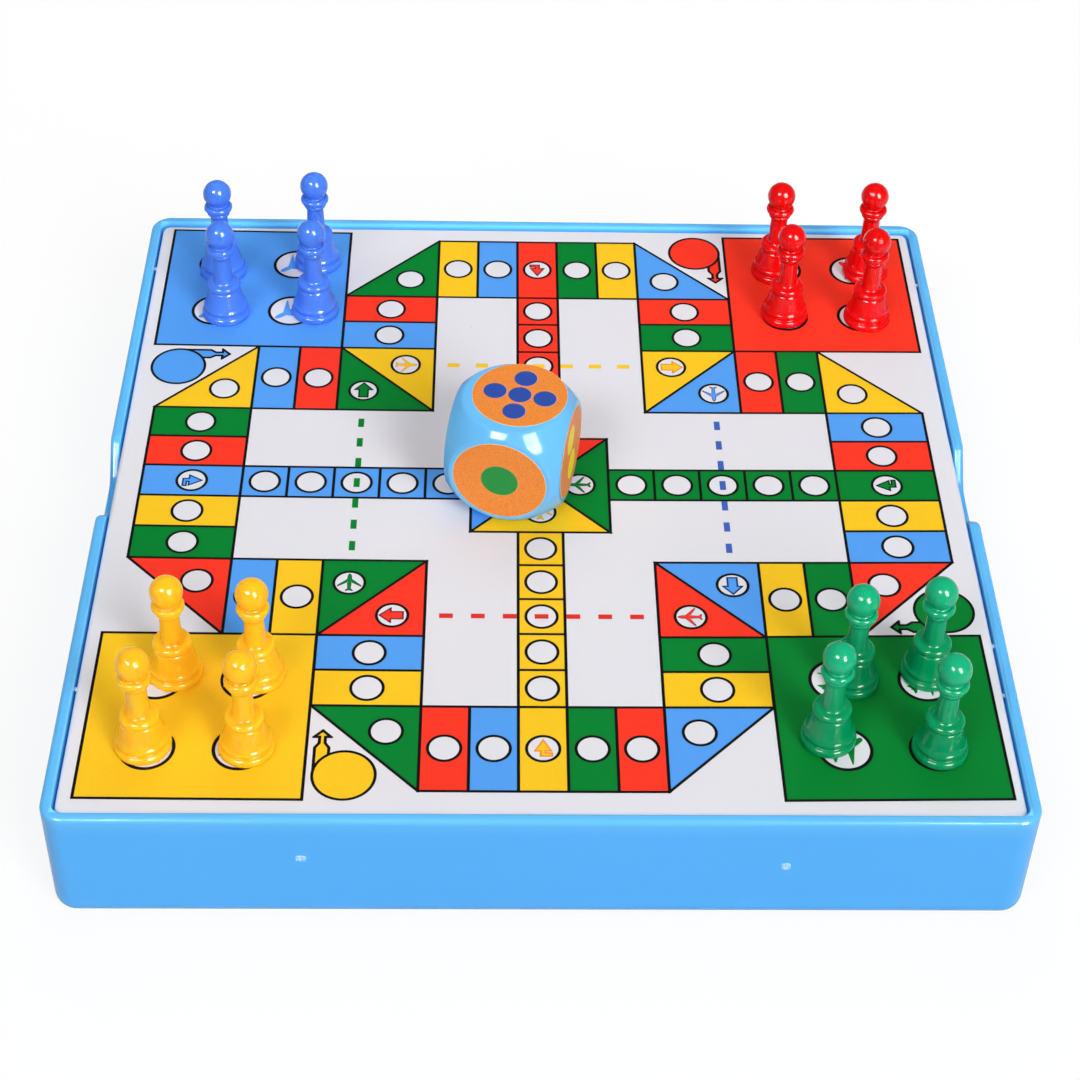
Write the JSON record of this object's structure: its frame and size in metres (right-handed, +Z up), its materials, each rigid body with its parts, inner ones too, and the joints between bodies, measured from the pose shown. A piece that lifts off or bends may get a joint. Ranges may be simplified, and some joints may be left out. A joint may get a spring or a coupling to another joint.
{
  "type": "ludo board box",
  "caption": "Square moulded tray closed by a lift-out printed ludo board plate, with turned pawns standing in its corner bases and a large rounded die in the middle.",
  "frame": {"origin": "middle of the tray's flat underside", "axes": "+Z up; +X across the board to the right and +Y away from the player's edge"},
  "size_m": [0.206, 0.206, 0.0594],
  "materials": {
    "tray_plastic": "glossy moulded light blue plastic",
    "board_plastic": "satin white moulded plastic with a printed top",
    "pawn_blue": "glossy moulded blue plastic",
    "pawn_red": "glossy moulded red plastic",
    "pawn_yellow": "glossy moulded yellow plastic",
    "pawn_green": "glossy moulded green plastic",
    "die_plastic": "glossy moulded light blue plastic",
    "die_sticker": "grainy printed orange foil"
  },
  "bodies": {
    "tray": {"tray": "tray_plastic"},
    "board": {"board_plate": "board_plastic"},
    "pawn_blue_1": {"pawn_blue_1": "pawn_blue"},
    "pawn_blue_2": {"pawn_blue_2": "pawn_blue"},
    "pawn_blue_3": {"pawn_blue_3": "pawn_blue"},
    "pawn_blue_4": {"pawn_blue_4": "pawn_blue"},
    "pawn_red_1": {"pawn_red_1": "pawn_red"},
    "pawn_red_2": {"pawn_red_2": "pawn_red"},
    "pawn_red_3": {"pawn_red_3": "pawn_red"},
    "pawn_red_4": {"pawn_red_4": "pawn_red"},
    "pawn_yellow_1": {"pawn_yellow_1": "pawn_yellow"},
    "pawn_yellow_2": {"pawn_yellow_2": "pawn_yellow"},
    "pawn_yellow_3": {"pawn_yellow_3": "pawn_yellow"},
    "pawn_yellow_4": {"pawn_yellow_4": "pawn_yellow"},
    "pawn_green_1": {"pawn_green_1": "pawn_green"},
    "pawn_green_2": {"pawn_green_2": "pawn_green"},
    "pawn_green_3": {"pawn_green_3": "pawn_green"},
    "pawn_green_4": {"pawn_green_4": "pawn_green"},
    "die": {"die_body": "die_plastic", "die_sticker_one": "die_sticker", "die_sticker_two": "die_sticker", "die_sticker_three": "die_sticker", "die_sticker_four": "die_sticker", "die_sticker_five": "die_sticker", "die_sticker_six": "die_sticker"}
  },
  "joints": [
    {"name": "board_lift", "type": "slide", "parent": "tray", "child": "board", "axis": [0, 0, 1], "range_m": [0, 0.06]},
    {"name": "pawn_blue_1_lift", "type": "slide", "parent": "board", "child": "pawn_blue_1", "axis": [0, 0, 1], "range_m": [0, 0.04]},
    {"name": "pawn_blue_2_lift", "type": "slide", "parent": "board", "child": "pawn_blue_2", "axis": [0, 0, 1], "range_m": [0, 0.04]},
    {"name": "pawn_blue_3_lift", "type": "slide", "parent": "board", "child": "pawn_blue_3", "axis": [0, 0, 1], "range_m": [0, 0.04]},
    {"name": "pawn_blue_4_lift", "type": "slide", "parent": "board", "child": "pawn_blue_4", "axis": [0, 0, 1], "range_m": [0, 0.04]},
    {"name": "pawn_red_1_lift", "type": "slide", "parent": "board", "child": "pawn_red_1", "axis": [0, 0, 1], "range_m": [0, 0.04]},
    {"name": "pawn_red_2_lift", "type": "slide", "parent": "board", "child": "pawn_red_2", "axis": [0, 0, 1], "range_m": [0, 0.04]},
    {"name": "pawn_red_3_lift", "type": "slide", "parent": "board", "child": "pawn_red_3", "axis": [0, 0, 1], "range_m": [0, 0.04]},
    {"name": "pawn_red_4_lift", "type": "slide", "parent": "board", "child": "pawn_red_4", "axis": [0, 0, 1], "range_m": [0, 0.04]},
    {"name": "pawn_yellow_1_lift", "type": "slide", "parent": "board", "child": "pawn_yellow_1", "axis": [0, 0, 1], "range_m": [0, 0.04]},
    {"name": "pawn_yellow_2_lift", "type": "slide", "parent": "board", "child": "pawn_yellow_2", "axis": [0, 0, 1], "range_m": [0, 0.04]},
    {"name": "pawn_yellow_3_lift", "type": "slide", "parent": "board", "child": "pawn_yellow_3", "axis": [0, 0, 1], "range_m": [0, 0.04]},
    {"name": "pawn_yellow_4_lift", "type": "slide", "parent": "board", "child": "pawn_yellow_4", "axis": [0, 0, 1], "range_m": [0, 0.04]},
    {"name": "pawn_green_1_lift", "type": "slide", "parent": "board", "child": "pawn_green_1", "axis": [0, 0, 1], "range_m": [0, 0.04]},
    {"name": "pawn_green_2_lift", "type": "slide", "parent": "board", "child": "pawn_green_2", "axis": [0, 0, 1], "range_m": [0, 0.04]},
    {"name": "pawn_green_3_lift", "type": "slide", "parent": "board", "child": "pawn_green_3", "axis": [0, 0, 1], "range_m": [0, 0.04]},
    {"name": "pawn_green_4_lift", "type": "slide", "parent": "board", "child": "pawn_green_4", "axis": [0, 0, 1], "range_m": [0, 0.04]},
    {"name": "die_lift", "type": "slide", "parent": "board", "child": "die", "axis": [0, 0, 1], "range_m": [0, 0.04]}
  ]
}
